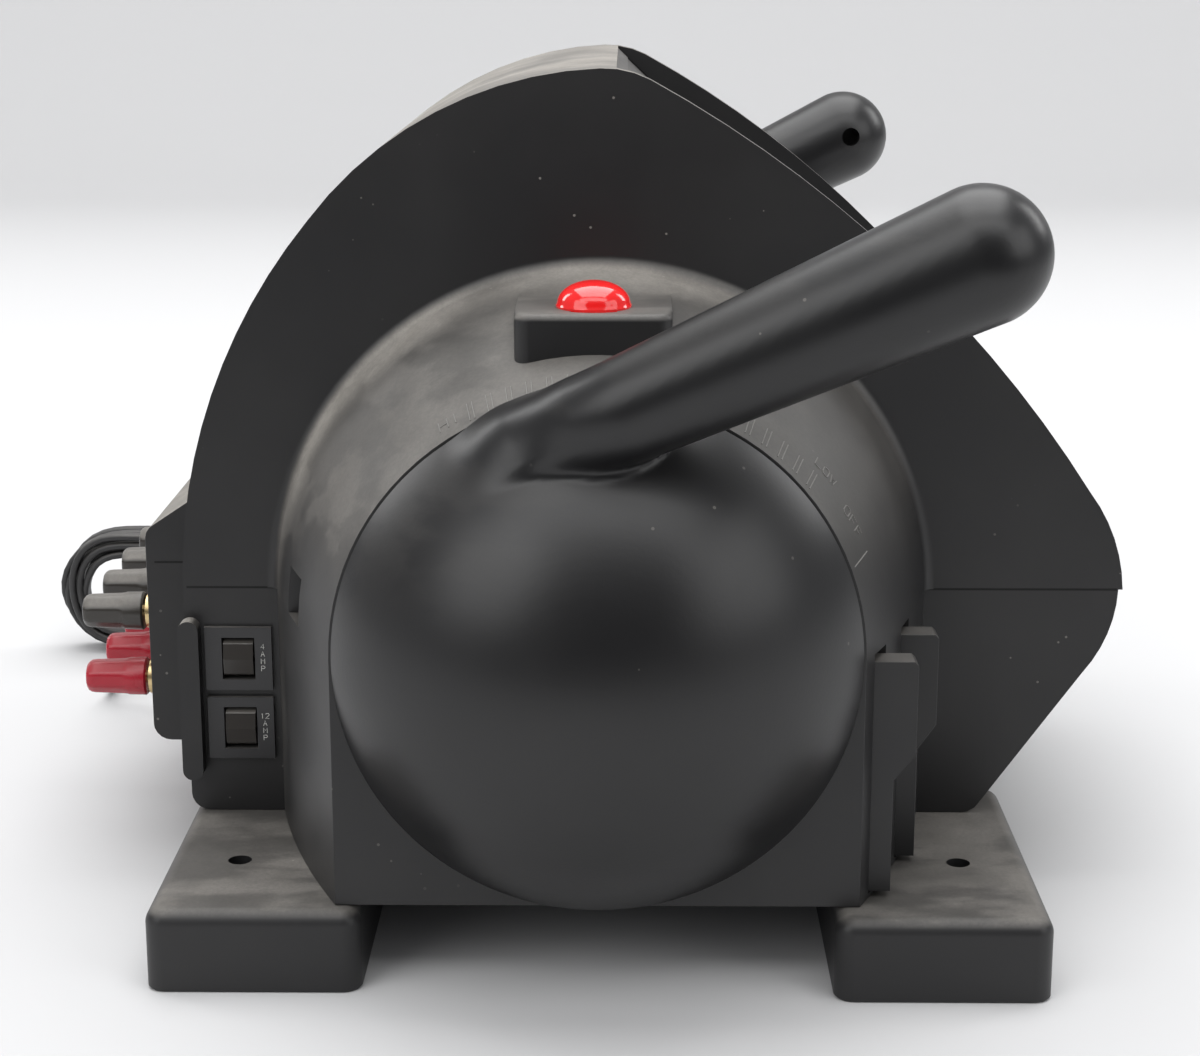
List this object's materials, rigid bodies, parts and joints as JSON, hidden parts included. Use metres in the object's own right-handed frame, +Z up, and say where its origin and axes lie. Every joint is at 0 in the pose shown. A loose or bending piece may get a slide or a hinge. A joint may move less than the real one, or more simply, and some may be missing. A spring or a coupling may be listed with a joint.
{
  "type": "model train control transformer",
  "caption": "Two-handle control transformer: rounded black case, domed throttle handles on both ends, lamps, keys, breakers, binding posts and a tied cord.",
  "frame": {"origin": "on the table at the centre of the four mounting holes in the feet", "axes": "+Z up, front towards -Y, long axis (the handle pivot axis) along X; the breaker end is at -X"},
  "size_m": [0.3882, 0.357, 0.2316],
  "materials": {
    "housing_plastic": "satin",
    "panel_plastic": "matte",
    "plate_metal": "satin",
    "foot_plastic": "satin",
    "handle_plastic": "satin",
    "screw_steel": "satin",
    "bumper_rubber": "matte",
    "bush_brass": "satin",
    "pot_case": "matte",
    "lens_red": "gloss",
    "lamp_white": "satin",
    "breaker_plastic": "satin",
    "rocker_plastic": "gloss",
    "key_plastic": "satin",
    "cap_black": "gloss",
    "cap_red": "gloss",
    "core_steel": "matte",
    "winding_copper": "satin",
    "board_green": "satin",
    "sink_aluminium": "satin",
    "cord_rubber": "satin"
  },
  "bodies": {
    "housing": {"lower_case": "housing_plastic", "upper_cover": "housing_plastic", "front_fascia": "panel_plastic", "name_plate": "plate_metal", "base_plate": "panel_plastic", "foot_front_left": "foot_plastic", "foot_front_right": "foot_plastic", "foot_rear_left": "foot_plastic", "foot_rear_right": "foot_plastic", "foot_screws": "screw_steel", "case_screws": "screw_steel", "rubber_bumpers": "bumper_rubber", "left_bushing": "bush_brass", "left_potentiometer": "pot_case", "left_lamp_lens": "lens_red", "left_lamp_holder": "lamp_white", "right_bushing": "bush_brass", "right_potentiometer": "pot_case", "right_lamp_lens": "lens_red", "right_lamp_holder": "lamp_white", "small_breaker_body": "breaker_plastic", "large_breaker_body": "breaker_plastic", "key_pins": "screw_steel", "key_switches": "breaker_plastic", "terminal_studs": "bush_brass", "transformer_core": "core_steel", "transformer_winding": "winding_copper", "circuit_board": "board_green", "heat_sink": "sink_aluminium", "strain_relief": "cord_rubber", "cord_lead": "cord_rubber", "cord_hank": "cord_rubber", "cord_tail": "cord_rubber", "cable_tie": "cord_rubber", "plug": "cord_rubber"},
    "left_handle": {"left_handle_shell": "handle_plastic", "left_handle_inner": "handle_plastic", "left_handle_screw": "screw_steel", "left_shaft": "screw_steel", "left_shaft_clip": "screw_steel"},
    "right_handle": {"right_handle_shell": "handle_plastic", "right_handle_inner": "handle_plastic", "right_handle_screw": "screw_steel", "right_shaft": "screw_steel", "right_shaft_clip": "screw_steel"},
    "left_direction_key": {"left_direction_key": "key_plastic"},
    "left_whistle_key": {"left_whistle_key": "key_plastic"},
    "right_direction_key": {"right_direction_key": "key_plastic"},
    "right_whistle_key": {"right_whistle_key": "key_plastic"},
    "small_breaker_rocker": {"small_breaker_rocker": "rocker_plastic"},
    "large_breaker_rocker": {"large_breaker_rocker": "rocker_plastic"},
    "black_cap_1": {"black_cap_1": "cap_black"},
    "black_cap_2": {"black_cap_2": "cap_black"},
    "black_cap_3": {"black_cap_3": "cap_black"},
    "black_cap_4": {"black_cap_4": "cap_black"},
    "red_cap_1": {"red_cap_1": "cap_red"},
    "red_cap_2": {"red_cap_2": "cap_red"},
    "red_cap_3": {"red_cap_3": "cap_red"},
    "red_cap_4": {"red_cap_4": "cap_red"}
  },
  "joints": [
    {"name": "left_handle_turn", "type": "hinge", "parent": "housing", "child": "left_handle", "pos_m": [-0.15, 0, 0.0886], "axis": [-1, 0, 0], "range_deg": [0, 95]},
    {"name": "right_handle_turn", "type": "hinge", "parent": "housing", "child": "right_handle", "pos_m": [0.15, 0, 0.0886], "axis": [-1, 0, 0], "range_deg": [0, 95]},
    {"name": "left_direction_key_press", "type": "hinge", "parent": "housing", "child": "left_direction_key", "pos_m": [-0.1392, -0.06178, 0.0291], "axis": [-1, 0, 0], "range_deg": [0, 4], "stiffness_Nm_per_rad": 1, "springref_deg": -2.86},
    {"name": "left_whistle_key_press", "type": "hinge", "parent": "housing", "child": "left_whistle_key", "pos_m": [-0.1147, -0.07086, 0.0291], "axis": [-1, 0, 0], "range_deg": [0, 4], "stiffness_Nm_per_rad": 1, "springref_deg": -2.86},
    {"name": "right_direction_key_press", "type": "hinge", "parent": "housing", "child": "right_direction_key", "pos_m": [0.1392, -0.06178, 0.0291], "axis": [-1, 0, 0], "range_deg": [0, 4], "stiffness_Nm_per_rad": 1, "springref_deg": -2.86},
    {"name": "right_whistle_key_press", "type": "hinge", "parent": "housing", "child": "right_whistle_key", "pos_m": [0.1147, -0.07086, 0.0291], "axis": [-1, 0, 0], "range_deg": [0, 4], "stiffness_Nm_per_rad": 1, "springref_deg": -2.86},
    {"name": "small_breaker_flip", "type": "hinge", "parent": "housing", "child": "small_breaker_rocker", "pos_m": [-0.079, 0.1019, 0.0681], "axis": [0, 1, 0], "range_deg": [0, 20]},
    {"name": "large_breaker_flip", "type": "hinge", "parent": "housing", "child": "large_breaker_rocker", "pos_m": [-0.079, 0.1019, 0.0476], "axis": [0, 1, 0], "range_deg": [0, 20]},
    {"name": "black_cap_1_unscrew", "type": "hinge", "parent": "housing", "child": "black_cap_1", "pos_m": [-0.042, 0.145, 0.0706], "axis": [0, 1, 0], "range_deg": [0, 1080]},
    {"name": "black_cap_2_unscrew", "type": "hinge", "parent": "housing", "child": "black_cap_2", "pos_m": [-0.014, 0.145, 0.0706], "axis": [0, 1, 0], "range_deg": [0, 1080]},
    {"name": "black_cap_3_unscrew", "type": "hinge", "parent": "housing", "child": "black_cap_3", "pos_m": [0.014, 0.145, 0.0706], "axis": [0, 1, 0], "range_deg": [0, 1080]},
    {"name": "black_cap_4_unscrew", "type": "hinge", "parent": "housing", "child": "black_cap_4", "pos_m": [0.042, 0.145, 0.0706], "axis": [0, 1, 0], "range_deg": [0, 1080]},
    {"name": "red_cap_1_unscrew", "type": "hinge", "parent": "housing", "child": "red_cap_1", "pos_m": [-0.042, 0.145, 0.0502], "axis": [0, 1, 0], "range_deg": [0, 1080]},
    {"name": "red_cap_2_unscrew", "type": "hinge", "parent": "housing", "child": "red_cap_2", "pos_m": [-0.014, 0.145, 0.0502], "axis": [0, 1, 0], "range_deg": [0, 1080]},
    {"name": "red_cap_3_unscrew", "type": "hinge", "parent": "housing", "child": "red_cap_3", "pos_m": [0.014, 0.145, 0.0502], "axis": [0, 1, 0], "range_deg": [0, 1080]},
    {"name": "red_cap_4_unscrew", "type": "hinge", "parent": "housing", "child": "red_cap_4", "pos_m": [0.042, 0.145, 0.0502], "axis": [0, 1, 0], "range_deg": [0, 1080]}
  ]
}
